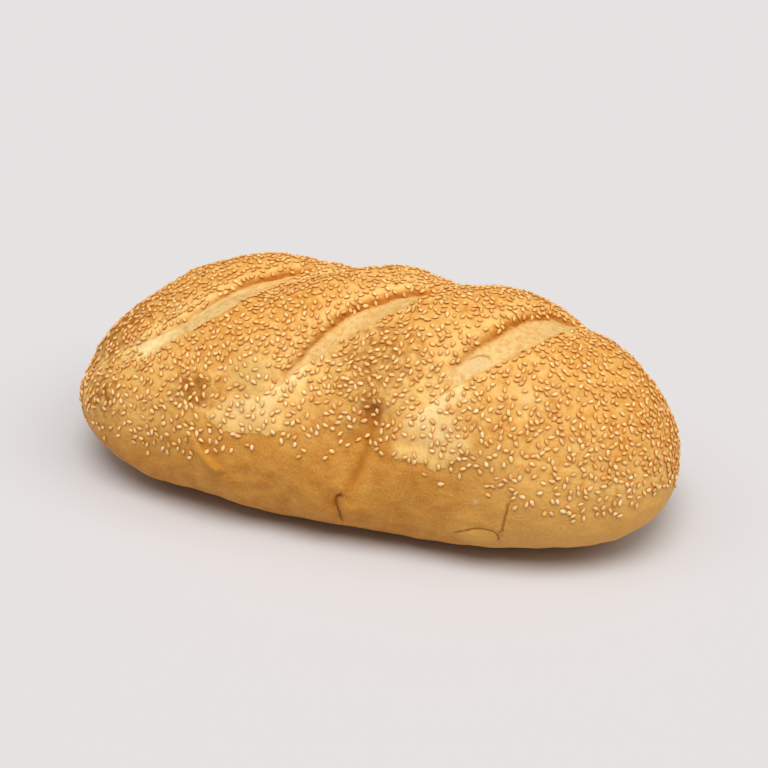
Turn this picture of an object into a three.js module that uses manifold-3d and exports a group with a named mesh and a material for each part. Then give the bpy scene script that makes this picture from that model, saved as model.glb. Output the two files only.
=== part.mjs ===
// Vienna loaf: one solid of baked dough, with three diagonal slashes and sesame seeds fused to its crust.
// Millimetres, +Z up. +X runs along the loaf, -Y is its front, and the origin is on the flat underside.
//
// The form is a rounded block about a waist. Places on the crust are given in girth coordinates: x along
// the loaf, and w round it from the ridge line, where w is an angle about the loaf's axis times
// GIRTH_RADIUS, negative at the front.

import * as THREE from 'three';
import { mergeVertices } from 'three/addons/utils/BufferGeometryUtils.js';
import Module from 'manifold-3d';

// ---- Driving dimensions ----

const HALF_LENGTH = 150;
const FRONT_HALF_WIDTH = 72.5;
const BACK_HALF_WIDTH = 72.3;
const CROWN_HEIGHT = 75.4; // above the waist
const BELLY_DEPTH = 43; // below the waist, before the flat underside is cut
const WAIST_HEIGHT = 36.2; // above the underside

const CROWN_EXPONENT = 2; // the roundness of a section above the waist, where 2 is an ellipse
const BELLY_EXPONENT = 2.5;
const CORNER_EXPONENTS = { frontLeft: 2.65, frontRight: 2.5, backLeft: 3, backRight: 2.4 };

const WIDTH_TAPER = -0.057; // the share of width that the right end gains and the left end loses
const HEIGHT_TAPER = 0.146; // the same share of the crown's height
const BEND = -9.6; // how far the ends swing to the back, so that a minus sign is to the front
const BEND_BALANCE = 0.3; // the share of the half-length, squared, where the bend is nil
const PLAN_SHIFT = [-0.1, -2.03]; // puts the middle of the finished loaf over the origin
const SPINE_HALF_LENGTH = 75; // the crust's outward direction starts at the nearest point of this spine
const GIRTH_RADIUS = 66;

// The broad valleys that the dough sinks to along the cuts, from back to front. frontShare is the share
// of the depth that is left towards the front.
const VALLEYS = [
  { back: [-29.4, 34], front: [-124, -54], depth: 11.4, width: 19.6, frontShare: 0.4 },
  { back: [28.7, 26], front: [-33, -62], depth: 9.2, width: 20.3, frontShare: 0.85 },
  { back: [93, 28], front: [36, -60], depth: 5.6, width: 19.3, frontShare: 1 },
];
const VALLEY_BACK_FADE = [-0.9, -0.35]; // shares of a valley's line where it starts and is full
const VALLEY_EASE = [0.05, 0.6]; // where its depth changes from the back's to the front's
const VALLEY_FRONT_FADE = [0.95, 1.45];

// Broad rises and hollows of the crust: a place in girth coordinates, a radius and a height.
const HUMPS = [
  [-128, 43, 17, -2.4], [-78, 36, 17, 2.6], [-38, 54, 11, -0.8], [68, 48, 15, 0.6], [91, 52, 8, -1.5],
  [124, 34, 16, -1], [140, 44, 10, -1], [2, -132, 18, -1.2], [42, -132, 16, 1.5], [82, -132, 18, -1],
  [-52, -128, 16, 1.2],
];

// Low waves that make the crust uneven: height, wavelengths along x and w, and phase in turns.
const LUMPS = [
  { height: 0.9, alongX: 118, alongW: 171, phase: 0.1 },
  { height: 0.7, alongX: -83, alongW: 97, phase: 0.45 },
  { height: 0.5, alongX: 57, alongW: 74, phase: 0.8 },
];
const LUMP_FADE = [95, 140]; // where along x the waves fade out towards the ends

// The cuts: a line, the distances to its right, at even steps along it, of the steep left lip and the
// right edge, how deep the floor lies under the lip, and the shares of the line where it runs out.
const SLASHES = [
  {
    back: [-40, 40], front: [-118, -56], step: 1.7, start: -0.02, fade: 0.84, end: 1,
    left: [1.4, 1.2, -1.5, -3.8, 0.5, 2.8, 2.2, -3.6, -8],
    right: [1.3, 4.1, 6.9, 13.7, 19.6, 19.4, 14, 10.5, 5],
  },
  {
    back: [37, 12], front: [-36, -64], step: 2, start: -0.02, fade: 0.9, end: 1.02,
    left: [0.6, -4, -10.7, -13.1, -12.5, -10.9, -8.6, -3.6, 0],
    right: [0.9, 1.7, 2.3, 0.5, 0.6, 0.5, -0.2, -0.3, 0.8],
  },
  {
    back: [94, 36], front: [36, -60], step: 2.3, start: -0.02, fade: 0.68, end: 0.9,
    left: [-2, -4.2, -4.9, -4.6, -2.7, -1.6, -1.1, -0.9, -0.4],
    right: [4.8, 9.4, 13.2, 14.9, 14.9, 13.2, 9.9, 5.7, 2.2],
  },
];
const CUT_BACK_FADE = 0.07; // the share of the line over which a cut deepens from its back end
const FLOOR_RISE = 0.6; // how much shallower a cut is at its right edge
const LIP_SLANT = 0.6; // how far the foot of a cut's wall lies inside its edge
const LEAST_WIDTH = 1.5;

// The fissure down the front where the third valley closes, the hollow that it lies in, and the fold of
// dough beside the first valley.
const FISSURE = { back: [17, -60], front: [1.5, -126], start: 0, end: 1, halfWidth: 2.2, depth: 2.4 };
const FISSURE_MOUTH = 0.6; // the narrowest half-width, and how far the groove's sides stand up
const HOLLOW = { back: [17, -58], front: [7.4, -99.4], depth: 3.6, width: 11 };
const HOLLOW_FADES = [[-0.3, 0.2], [0.6, 1.35]];
const FOLD = { back: [-76, -86.5], front: [-56, -105.2], start: 0, end: 1, halfWidth: 3.4, height: 1.5 };
const FOLD_EDGE = 0.6; // the half-width of the fold's ends
const FOLD_FOOT = [1.5, 4]; // how far the fold's sides and its keel reach under the crust
const FOLD_SHOULDER = [0.5, 0.75]; // the shoulder's share of the half-width and of the height

const SWEEP_STATIONS = 12;
const CUT_CLEARANCE = 9; // how far a cutter stands out of the crust
const CUT_RUNOUT = 1.2; // how far its floor stands out of the crust at both ends

// ---- Crust mesh and seeds ----

const CRUST_SEGMENTS = [36, 19, 11]; // along x, y and z of the block that is rounded to the loaf
const BLOCK_ASPECT = [1.9, 1, 0.85]; // the block's own proportions, so that its facets come out even
const SLAB = [400, 300, 60]; // what is cut away under the loaf
const MERGE_DISTANCE = 1e-4;
const HALVINGS = 40; // how often a range of radii is halved to find the form's surface

const SEED_SIZE = [3.1, 1.9, 1.4]; // length, width, thickness
const SEED_TAPER = 0.3; // how much narrower the pointed half of a seed is
const SEED_SIDES = 6;
const SEED_RINGS = 3;
const SEED_SINK = 0.08; // how far a seed's middle lies under the crust
const SEED_COUNT = 166;
const SEED_CANDIDATES = 24; // the place farthest from other seeds is taken of this many
const SEED_RANDOM = 20417;
const SEED_LIMIT = 91; // girth from the ridge to the lowest seeds, in the middle of the loaf
const SEED_LIMIT_DROP = 17; // how much lower the seeds reach near the ends
const SEED_LIMIT_SPAN = 115; // where along x that drop is reached
const SEED_LIMIT_MOST = 1.3; // the most of that drop
const SEED_CUT_MARGIN = 1.6; // from a seed's middle to the edge of a cut

const CRUST_COLOUR = 0xd99f54;
const CRUST_ROUGHNESS = 0.75;

const { clamp, smoothstep } = THREE.MathUtils;
const mix = (a, b, share) => a + (b - a) * share;
const sumOf = (values) => values.reduce((sum, value) => sum + value, 0);

// ---- The smooth form ----

// How far the form reaches in a direction, on a scale where each half-size is 1.
function formReach(direction) {
  const right = 0.5 + 0.5 * clamp(2 * direction.x, -1, 1);
  const back = 0.5 + 0.5 * clamp(2 * direction.y, -1, 1);
  const front = mix(CORNER_EXPONENTS.frontLeft, CORNER_EXPONENTS.frontRight, right);
  const rear = mix(CORNER_EXPONENTS.backLeft, CORNER_EXPONENTS.backRight, right);
  const corner = mix(front, rear, back);
  const section = direction.z > 0 ? CROWN_EXPONENT : BELLY_EXPONENT;
  const plan = Math.abs(direction.x) ** corner + Math.abs(direction.y) ** corner;
  return (plan ** (section / corner) + Math.abs(direction.z) ** section) ** (-1 / section);
}

// The form's half-sizes at a share of its half-length, on the side that a direction points to.
function halfSizes(share, direction) {
  const halfWidth = direction.y > 0 ? BACK_HALF_WIDTH : FRONT_HALF_WIDTH;
  const crown = CROWN_HEIGHT * (1 + HEIGHT_TAPER * share);
  return [halfWidth * (1 + WIDTH_TAPER * share), direction.z > 0 ? crown : BELLY_DEPTH];
}

// The point of the form in a direction, from the waist's centre.
function formPoint(direction) {
  const scaled = direction.clone().multiplyScalar(formReach(direction));
  const [halfWidth, halfHeight] = halfSizes(scaled.x, direction);
  return new THREE.Vector3(HALF_LENGTH * scaled.x, halfWidth * scaled.y, halfHeight * scaled.z);
}

// The point of the form at girth coordinates, found by halving the range of radii that holds it.
function formPointAt(x, w) {
  const ray = new THREE.Vector3(0, Math.sin(w / GIRTH_RADIUS), Math.cos(w / GIRTH_RADIUS));
  const [halfWidth, halfHeight] = halfSizes(x / HALF_LENGTH, ray);
  let inside = 0;
  let outside = HALF_LENGTH;
  for (let halving = 0; halving < HALVINGS; halving += 1) {
    const radius = (inside + outside) / 2;
    const scaled = ray.clone().multiplyScalar(radius);
    scaled.set(x / HALF_LENGTH, scaled.y / halfWidth, scaled.z / halfHeight);
    if (scaled.length() < formReach(scaled.clone().normalize())) inside = radius;
    else outside = radius;
  }
  return ray.multiplyScalar(inside).setX(x);
}

// ---- Lines on the crust, and what sinks along them ----

// A line's length and its direction in girth coordinates.
function heading({ back, front }) {
  const length = Math.hypot(front[0] - back[0], front[1] - back[1]);
  return [length, (front[0] - back[0]) / length, (front[1] - back[1]) / length];
}

// A place on a line: the share of its length, and the distance to its right, which is towards the front.
function beside(line, x, w) {
  const [length, dx, dw] = heading(line);
  const [fromX, fromW] = [x - line.back[0], w - line.back[1]];
  return [(fromX * dx + fromW * dw) / length, fromW * dx - fromX * dw];
}

// The girth coordinates at a share of a line and a distance to its right.
function placeBeside(line, share, offset) {
  const [length, dx, dw] = heading(line);
  const along = share * length;
  return [line.back[0] + along * dx - offset * dw, line.back[1] + along * dw + offset * dx];
}

// How open the fissure or the fold is at a share of its line, from 0 at its ends to 1.
function opening(line, share) {
  const along = (share - line.start) / (line.end - line.start);
  return along <= 0 || along >= 1 ? 0 : Math.sin(Math.PI * along) ** 0.6;
}

function valueAt(values, share) {
  const place = clamp(share, 0, 1) * (values.length - 1);
  const before = Math.min(Math.floor(place), values.length - 2);
  return mix(values[before], values[before + 1], place - before);
}

// A cut's left and right edges at a share of its line, and how deep it is, from 0 at its ends to 1.
function cutEdges(slash, share) {
  const left = valueAt(slash.left, share);
  const right = Math.max(valueAt(slash.right, share), left + LEAST_WIDTH);
  const open = smoothstep(share, slash.start, slash.start + CUT_BACK_FADE);
  return [left, right, open * (1 - smoothstep(share, slash.fade, slash.end))];
}

function valleyDent(valley, x, w) {
  const [share, offset] = beside(valley, x, w);
  const backFade = smoothstep(share, ...VALLEY_BACK_FADE);
  const frontFade = 1 - smoothstep(share, ...VALLEY_FRONT_FADE);
  const ease = mix(1, valley.frontShare, smoothstep(share, ...VALLEY_EASE));
  return -valley.depth * ease * backFade * frontFade * Math.exp(-((offset / valley.width) ** 2));
}

function hollowDent(x, w) {
  const [share, offset] = beside(HOLLOW, x, w);
  const [back, front] = HOLLOW_FADES;
  const shown = smoothstep(share, ...back) * (1 - smoothstep(share, ...front));
  return -HOLLOW.depth * shown * Math.exp(-((offset / HOLLOW.width) ** 2));
}

function hump([middleX, middleW, radius, height], x, w) {
  return height * Math.exp(-((x - middleX) ** 2 + (w - middleW) ** 2) / radius ** 2);
}

function lump({ height, alongX, alongW, phase }, x, w) {
  const away = 1 - smoothstep(Math.abs(x), ...LUMP_FADE);
  return away * height * Math.sin(2 * Math.PI * (x / alongX + w / alongW + phase));
}

// The crust's height over the smooth form.
function crustRise(x, w) {
  return hollowDent(x, w) + sumOf([
    ...VALLEYS.map((valley) => valleyDent(valley, x, w)),
    ...HUMPS.map((place) => hump(place, x, w)),
    ...LUMPS.map((wave) => lump(wave, x, w)),
  ]);
}

function outward(formed) {
  const spine = new THREE.Vector3(clamp(formed.x, -SPINE_HALF_LENGTH, SPINE_HALF_LENGTH), 0, 0);
  return formed.clone().sub(spine).normalize();
}

// A point of the crust, raised by rise, from a point of the smooth form.
function crustPoint(formed, rise = 0) {
  const w = GIRTH_RADIUS * Math.atan2(formed.y, formed.z);
  const point = formed.clone().addScaledVector(outward(formed), crustRise(formed.x, w) + rise);
  point.x += PLAN_SHIFT[0];
  point.y += PLAN_SHIFT[1] + BEND * ((formed.x / HALF_LENGTH) ** 2 - BEND_BALANCE);
  point.z += WAIST_HEIGHT;
  return point;
}

// ---- Meshes and solids ----

function onlyPositions(geometry) {
  const bare = geometry.clone();
  bare.deleteAttribute('normal');
  bare.deleteAttribute('uv');
  return mergeVertices(bare, MERGE_DISTANCE);
}

function toSolid(wasm, geometry) {
  const { position } = geometry.attributes;
  const mesh = new wasm.Mesh({
    numProp: 3,
    vertProperties: Float32Array.from(position.array),
    triVerts: Uint32Array.from(geometry.index.array),
  });
  return new wasm.Manifold(mesh);
}

function toGeometry(solid) {
  const mesh = solid.getMesh();
  const geometry = new THREE.BufferGeometry();
  geometry.setAttribute('position', new THREE.BufferAttribute(new Float32Array(mesh.vertProperties), 3));
  geometry.setIndex(new THREE.BufferAttribute(new Uint32Array(mesh.triVerts), 1));
  return mergeVertices(geometry, MERGE_DISTANCE);
}

// A block whose faces are drawn out to a sphere and then to the crust.
function crustGeometry() {
  const geometry = onlyPositions(new THREE.BoxGeometry(2, 2, 2, ...CRUST_SEGMENTS));
  const { position } = geometry.attributes;
  const vertex = new THREE.Vector3();
  for (let i = 0; i < position.count; i += 1) {
    vertex.fromBufferAttribute(position, i);
    const evened = vertex.toArray().map((side, axis) => Math.tan((side * Math.PI) / 4) * BLOCK_ASPECT[axis]);
    const point = crustPoint(formPoint(vertex.set(...evened).normalize()));
    position.setXYZ(i, ...point.toArray());
  }
  geometry.computeVertexNormals();
  return geometry;
}

// A solid swept along a line on the crust. profile gives the corners of its section, as distance to the
// right and height over the crust, at a share of the line.
function sweptGeometry(line, profile) {
  const sections = [];
  for (let station = 0; station <= SWEEP_STATIONS; station += 1) {
    const share = mix(line.start, line.end, station / SWEEP_STATIONS);
    const corners = profile(share).map(([offset, rise]) => {
      const [x, w] = placeBeside(line, share, offset);
      return crustPoint(formPointAt(x, w), rise);
    });
    sections.push(corners);
  }
  const count = sections[0].length;
  const faces = [];
  for (let corner = 1; corner < count - 1; corner += 1) {
    const last = SWEEP_STATIONS * count;
    faces.push(0, corner + 1, corner, last, last + corner, last + corner + 1);
  }
  for (let station = 0; station < SWEEP_STATIONS; station += 1) {
    for (let corner = 0; corner < count; corner += 1) {
      const here = station * count + corner;
      const next = station * count + ((corner + 1) % count);
      faces.push(here, next, here + count, next, next + count, here + count);
    }
  }
  const geometry = new THREE.BufferGeometry().setFromPoints(sections.flat());
  geometry.setIndex(faces);
  return geometry;
}

// From the left edge to the right: a steep lip, its foot, a floor that rises, and the open air above.
function cutProfile(slash) {
  return (share) => {
    const [left, right, open] = cutEdges(slash, share);
    const foot = mix(CUT_RUNOUT, -slash.step, open);
    const rim = mix(CUT_RUNOUT, -slash.step * (1 - FLOOR_RISE), open);
    return [
      [left - LIP_SLANT, CUT_CLEARANCE],
      [left + LIP_SLANT, foot],
      [(left + right) / 2, (foot + rim) / 2],
      [right, rim],
      [right + LIP_SLANT, CUT_CLEARANCE],
    ];
  };
}

function fissureProfile(line) {
  return (share) => {
    const half = FISSURE_MOUTH + line.halfWidth * opening(line, share);
    const floor = mix(CUT_RUNOUT, -line.depth, opening(line, share));
    return [
      [-half, CUT_CLEARANCE],
      [-half, FISSURE_MOUTH],
      [0, floor],
      [half, FISSURE_MOUTH],
      [half, CUT_CLEARANCE],
    ];
  };
}

function foldProfile(line) {
  const [side, keel] = FOLD_FOOT;
  const [inset, level] = FOLD_SHOULDER;
  return (share) => {
    const half = FOLD_EDGE + line.halfWidth * opening(line, share);
    const crest = mix(-side, line.height, opening(line, share));
    return [
      [half, -side],
      [inset * half, level * crest],
      [0, crest],
      [-inset * half, level * crest],
      [-half, -side],
      [0, -keel],
    ];
  };
}

// ---- Seeds ----

// The same draws on every run.
function seededRandom(seed) {
  let state = seed;
  return () => {
    state = (Math.imul(state, 1664525) + 1013904223) >>> 0;
    return state / 2 ** 32;
  };
}

function seedGeometry() {
  const geometry = onlyPositions(new THREE.SphereGeometry(0.5, SEED_SIDES, SEED_RINGS));
  geometry.rotateZ(Math.PI / 2);
  const { position } = geometry.attributes;
  for (let i = 0; i < position.count; i += 1) {
    const narrowing = 1 - SEED_TAPER * Math.max(0, position.getX(i)) * 2;
    position.setXYZ(i, position.getX(i), position.getY(i) * narrowing, position.getZ(i) * narrowing);
  }
  return geometry.scale(...SEED_SIZE);
}

function holdsSeeds(x, w) {
  const drop = Math.min(SEED_LIMIT_MOST, (x / SEED_LIMIT_SPAN) ** 2);
  const inCut = SLASHES.some((slash) => {
    const [share, offset] = beside(slash, x, w);
    const [left, right, open] = cutEdges(slash, share);
    return open > 0 && offset > left - SEED_CUT_MARGIN && offset < right + SEED_CUT_MARGIN;
  });
  return Math.abs(w) < SEED_LIMIT + SEED_LIMIT_DROP * drop && !inCut;
}

// Points of the smooth form where seeds lie, each the farthest from the others of some candidates.
function seedPlaces(random) {
  const places = [];
  while (places.length < SEED_COUNT) {
    let best = null;
    let bestGap = -1;
    for (let candidate = 0; candidate < SEED_CANDIDATES; candidate += 1) {
      const x = (2 * random() - 1) * HALF_LENGTH;
      const w = (2 * random() - 1) * (SEED_LIMIT + SEED_LIMIT_MOST * SEED_LIMIT_DROP);
      const formed = formPointAt(x, w);
      const gap = Math.min(HALF_LENGTH, ...places.map((place) => place.distanceTo(formed)));
      if (holdsSeeds(x, w) && gap > bestGap) {
        best = formed;
        bestGap = gap;
      }
    }
    if (best) places.push(best);
  }
  return places;
}

// A seed that lies flat on the crust's facet, turned at random.
function seedMatrix(crust, formed, spin) {
  const ray = outward(formed);
  const start = crustPoint(formed).addScaledVector(ray, CUT_CLEARANCE);
  const [hit] = new THREE.Raycaster(start, ray.clone().negate()).intersectObject(crust);
  const upright = new THREE.Quaternion().setFromUnitVectors(new THREE.Vector3(0, 0, 1), hit.face.normal);
  const turn = new THREE.Quaternion().setFromAxisAngle(new THREE.Vector3(0, 0, 1), spin);
  const middle = hit.point.clone().addScaledVector(hit.face.normal, -SEED_SINK);
  return new THREE.Matrix4().compose(middle, upright.multiply(turn), new THREE.Vector3(1, 1, 1));
}

// ---- The loaf ----

const wasm = await Module();
wasm.setup();

function slab() {
  const geometry = onlyPositions(new THREE.BoxGeometry(...SLAB));
  return toSolid(wasm, geometry.translate(0, 0, -SLAB[2] / 2));
}

function dough(crust) {
  let solid = toSolid(wasm, crust).subtract(slab());
  for (const slash of SLASHES) {
    solid = solid.subtract(toSolid(wasm, sweptGeometry(slash, cutProfile(slash))));
  }
  solid = solid.subtract(toSolid(wasm, sweptGeometry(FISSURE, fissureProfile(FISSURE))));
  return solid.add(toSolid(wasm, sweptGeometry(FOLD, foldProfile(FOLD))));
}

function seeds(crust) {
  const random = seededRandom(SEED_RANDOM);
  const crustMesh = new THREE.Mesh(crust, new THREE.MeshBasicMaterial());
  const seed = seedGeometry();
  return seedPlaces(random).map((formed) => {
    const matrix = seedMatrix(crustMesh, formed, 2 * Math.PI * random());
    return toSolid(wasm, seed.clone().applyMatrix4(matrix));
  });
}

function loaf() {
  const crust = crustGeometry();
  const solid = wasm.Manifold.union([dough(crust), ...seeds(crust)]);
  const material = new THREE.MeshStandardMaterial({ color: CRUST_COLOUR, roughness: CRUST_ROUGHNESS });
  const mesh = new THREE.Mesh(toGeometry(solid), material);
  mesh.name = 'loaf';
  return mesh;
}

const viennaLoaf = new THREE.Group();
viennaLoaf.add(loaf());

export default viennaLoaf;
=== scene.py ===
"""A vienna loaf: a dense mesh of the baked crust, and joined meshes of its sesame seeds."""
import math

import bpy
import numpy as np
from mathutils import Matrix, Vector


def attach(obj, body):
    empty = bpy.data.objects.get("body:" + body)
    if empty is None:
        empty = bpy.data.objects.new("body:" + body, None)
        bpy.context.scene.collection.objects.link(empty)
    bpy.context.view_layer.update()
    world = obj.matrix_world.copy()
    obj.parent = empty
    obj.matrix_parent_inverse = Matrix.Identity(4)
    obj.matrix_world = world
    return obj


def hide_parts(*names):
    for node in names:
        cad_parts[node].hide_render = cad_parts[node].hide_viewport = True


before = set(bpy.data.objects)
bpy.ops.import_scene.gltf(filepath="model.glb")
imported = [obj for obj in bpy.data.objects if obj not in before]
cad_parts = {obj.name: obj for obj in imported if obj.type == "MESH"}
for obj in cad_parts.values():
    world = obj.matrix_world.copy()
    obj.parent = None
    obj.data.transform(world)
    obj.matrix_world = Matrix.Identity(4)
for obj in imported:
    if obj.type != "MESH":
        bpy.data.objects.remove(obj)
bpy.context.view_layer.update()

MM = 0.001

# ---- The form, in millimetres, by the same rule as the solid ----
# Girth coordinates: x along the loaf, and w round it from the ridge line, negative at the front.

HALF_LENGTH = 150.0
FRONT_HALF_WIDTH = 72.5
BACK_HALF_WIDTH = 72.3
CROWN_HEIGHT = 75.4
BELLY_DEPTH = 43.0
WAIST_HEIGHT = 36.2
CROWN_EXPONENT = 2.0
BELLY_EXPONENT = 2.5
CORNER_EXPONENTS = {"front_left": 2.65, "front_right": 2.5, "back_left": 3.0, "back_right": 2.4}
WIDTH_TAPER = -0.057  # how much wider the loaf is at its right end, as a share
HEIGHT_TAPER = 0.146
BEND = -9.6  # how much further back the ends lie than the middle
BEND_BALANCE = 0.3  # the share of the bend that the middle takes, the other way
PLAN_SHIFT = (-0.1, -2.03)
SPINE_HALF_LENGTH = 75.0
GIRTH_RADIUS = 66.0
FLOOR_SOFTNESS = 4.0  # how high above the underside the crust starts to round into it

# The valleys that the dough sinks to along the cuts: the line from back to front in girth coordinates,
# depth and width, and the share of the depth that is left towards the front.
VALLEYS = [
    dict(back=(-29.4, 34), front=(-124, -54), depth=11.4, width=19.6, front_share=0.4),
    dict(back=(28.7, 26), front=(-33, -62), depth=9.2, width=20.3, front_share=0.85),
    dict(back=(93, 28), front=(36, -60), depth=5.6, width=19.3, front_share=1.0),
]
VALLEY_START = (-0.9, -0.35)
VALLEY_END = (0.95, 1.45)
VALLEY_EASE = (0.05, 0.6)  # where the depth changes from the back's to the front's

# Broad rises and hollows of the crust: a place in girth coordinates, a radius and a height.
HUMPS = [
    (-128, 43, 17, -2.4), (-78, 36, 17, 2.6), (-38, 54, 11, -0.8), (68, 48, 15, 0.6),
    (91, 52, 8, -1.5), (124, 34, 16, -1.0), (140, 44, 10, -1.0), (2, -132, 18, -1.2),
    (42, -132, 16, 1.5), (82, -132, 18, -1.0), (-52, -128, 16, 1.2), (6.5, -112, 4, 0.9),
]
LUMPS = [(0.9, 118, 171, 0.1), (0.7, -83, 97, 0.45), (0.5, 57, 74, 0.8)]  # height, pitches and phase
LUMP_END = (95, 140)  # where along x the lumps fade out, since girths meet at the ends
DIMPLES = [(0.22, 13.0, 5), (0.12, 6.0, 6)]  # height, wavelength and random seed of the finer waves
WAVE_COUNT = 28
WAVE_SPREAD = (0.7, 1.5)

# The cuts: a line, how deep the floor lies under the lip, and where the cut fades out at its front.
# At even steps along the line: the offsets of the left lip and of the right edge, and how far the brow
# over the lip is curled, and browned and painted in shade.
SLASHES = [
    dict(back=(-40, 40), front=(-118, -56), step=2.2, end=(0.82, 1.02),
         left=[1.4, 1.2, -1.5, -3.8, 0.5, 2.8, 2.2, -3.6, -8.0],
         right=[1.3, 4.1, 6.9, 13.7, 19.6, 19.4, 14.0, 10.5, 5.0],
         brow=[0.6, 1.0, 1.0, 0.8, 0.6, 0.4, 0.25, 0.1, 0.1]),
    dict(back=(37, 12), front=(-36, -64), step=2.7, end=(0.94, 1.02),
         left=[0.6, -4.0, -10.7, -13.1, -12.5, -10.9, -8.6, -3.6, 0.0],
         right=[0.9, 1.7, 2.3, 0.5, 0.6, 0.5, -0.2, -0.3, 0.8],
         brow=[0.5, 0.9, 1.0, 1.0, 1.0, 0.9, 0.6, 0.4, 0.2]),
    dict(back=(94, 36), front=(36, -60), step=2.9, end=(0.68, 0.92),
         left=[-2.0, -4.2, -4.9, -4.6, -2.7, -1.6, -1.1, -0.9, -0.4],
         right=[4.8, 9.4, 13.2, 14.9, 14.9, 13.2, 9.9, 5.7, 2.2],
         brow=[0.5, 0.9, 1.0, 1.0, 1.0, 0.6, 0.4, 0.3, 0.2]),
]
SLASH_START = (-0.04, 0.05)
SLASH_WIDTHS = (0.5, 4.0)  # between these widths a cut starts to open
SLASH_LEFT_REACH = (-14, -9)  # how far outside its lip and its right edge a cut still shapes the crust
SLASH_RIGHT_REACH = (-7, -3)
SWAY = [(0.5, 9.0), (0.25, 4.0)]  # height and wavelength of the waves of a cut's edges
SWAY_SEEDS = (41, 51)  # for the lips and for the right edges
FLOOR_RISE = 0.6  # how much shallower a cut is at its right edge
BROW_WIDTH = 4.5  # over how much crust the left side curls down into a cut
BROWLESS_DEPTH = 0.6  # the share of the depth where there is no brow
RIGHT_WALL = (-0.6, 0.8)
EAR = (0.8, 6.0, 4.0)  # height, distance outside the lip and width of the ridge along a cut's left side
RIM = (0.4, 1.6, 1.8)  # the same for its right side

# Fissures down the front: a path, its depth and half-width from point to point, and the depth and
# half-width of the hollow that it lies in.
FISSURES = [
    dict(path=[(15.4, -57), (14.8, -65.5), (14.5, -74), (13.3, -83), (11.2, -92.5), (7.2, -101.5)],
         depths=[0.0, 2.6, 1.8, 1.8, 2.2, 1.6], widths=[2.6, 3.0, 2.2, 2.0, 2.0, 1.7], hollow=(3.8, 10)),
    dict(path=[(4.6, -104.8), (3.2, -106.7), (1.2, -108), (0.9, -111.5), (2.2, -117.1), (2.5, -125.3)],
         depths=[0.6, 1.6, 2.0, 2.2, 1.4, 0.6], widths=[1.2, 1.3, 1.4, 1.4, 1.2, 1.1], hollow=(1.4, 5)),
]
FISSURE_START = (0.0, 0.12)
FISSURE_END = (0.94, 1.0)
FISSURE_EXPONENT = 1.4
HOLLOW_START = (0.0, 0.2)
HOLLOW_END = (0.5, 1.35)
CREASE_DEPTHS = (0, 3.6)  # between these depths a fissure's crease goes from plain to dark, as painted shade

FOLD = [(-76, -83.5), (-72, -87.1), (-68.1, -90.1), (-65.1, -94.5), (-61.6, -97.8), (-58.1, -100.8),
        (-54.4, -103.2)]
FOLD_START = (0.0, 0.2)
FOLD_END = (0.92, 1.0)
FOLD_RIDGE = (2.0, -2.4, 2.3)  # height, offset from the fold's line and half-width
FOLD_GROOVE = (0.8, 0.9, 1.6)
FOLD_UPPER_SHARE = 0.35  # how high the ridge is before it swells
FOLD_SWELL = (0.4, 0.6)

# Torn lower edges of the paler crust. The crust above each stands a step higher, which fades upwards.
FLAPS = [
    [(-66, -77), (-64.9, -80), (-60.2, -82.9), (-57.2, -86.2), (-53.9, -85.3), (-50.2, -85.4),
     (-42.2, -84), (-32.3, -83.5), (-28.6, -81.2), (-22.8, -79.7)],
    [(27, -84), (31, -83.3), (36.7, -82.9), (42.8, -82.7), (48.1, -85.3), (53.6, -82.6),
     (56.7, -78.8), (60.3, -74.6), (65.8, -73.5)],
]
FLAP = dict(step=0.6, edge=(-0.6, 0.7), fade=12.0)

# Edges that the two broad valleys end in, from back to front. The crust on the right of each stands
# higher and is painted paler, partly paler torn crust and partly painted light on its lit edge.
LEDGES = [
    [(-23, -47), (-26.3, -51.9), (-29.1, -56.7), (-31.6, -60.3), (-34.1, -62.1), (-37, -65.8),
     (-39.7, -68.3), (-42.4, -71.1), (-45.2, -74.6)],
    [(55.6, -44.3), (51.9, -47.5), (46.7, -51.4), (43.7, -54.3), (41, -57), (36.1, -61.2),
     (32.1, -64.4), (28.4, -68.3)],
]
LEDGE = dict(step=0.8, edge=(-1.8, 1.0), fade=9.0)

# Thin dark lines in the crust, and how strongly each shows: the hook at the fissure's foot, the lines
# below and to the right of the flake, the fold's upper part and the edge of the bubble in a cut.
CRACKS = [
    (FISSURES[1]["path"], 1.0),
    ([(57.8, -117.5), (60, -115.8), (62.3, -114.6), (65.3, -113.3), (68.3, -112.4), (73.5, -112.2),
      (77.1, -112.7), (79.1, -114.4), (79.4, -117), (78.9, -120.2)], 0.9),
    ([(80.4, -113), (81.2, -111.3), (81.4, -108.1), (82.2, -104.7), (82.5, -101.3), (83.3, -99),
      (83, -96.8), (84.5, -93.8)], 0.8),
    (FOLD[:4], 0.5),
    ([(53.7, -31.8), (55.1, -29.8), (57.7, -27.9), (60.7, -27.8), (62.6, -28.6)], 0.6),
]
CRACK_REACH = 4.0
REACH_FADE = 0.6  # the share of its reach where a line starts to fade out sideways
FADES_REACHED = 2.2  # how many times its fade a flap or a ledge still marks the crust
PATH_START = (-0.02, 0.08)
PATH_END = (0.92, 1.02)
PATH_OVERRUN = 9.0  # how many spans a path's share still counts on past its ends
SMOOTHING = (-0.05, -0.025, 0, 0.025, 0.05)  # the shifts that values along a line are averaged over
FAR_OUTSIDE = -30.0  # the distance inside a cut's lip and edge that stands for no cut
FAR_AWAY = 40.0  # the distance that stands for no path

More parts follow.
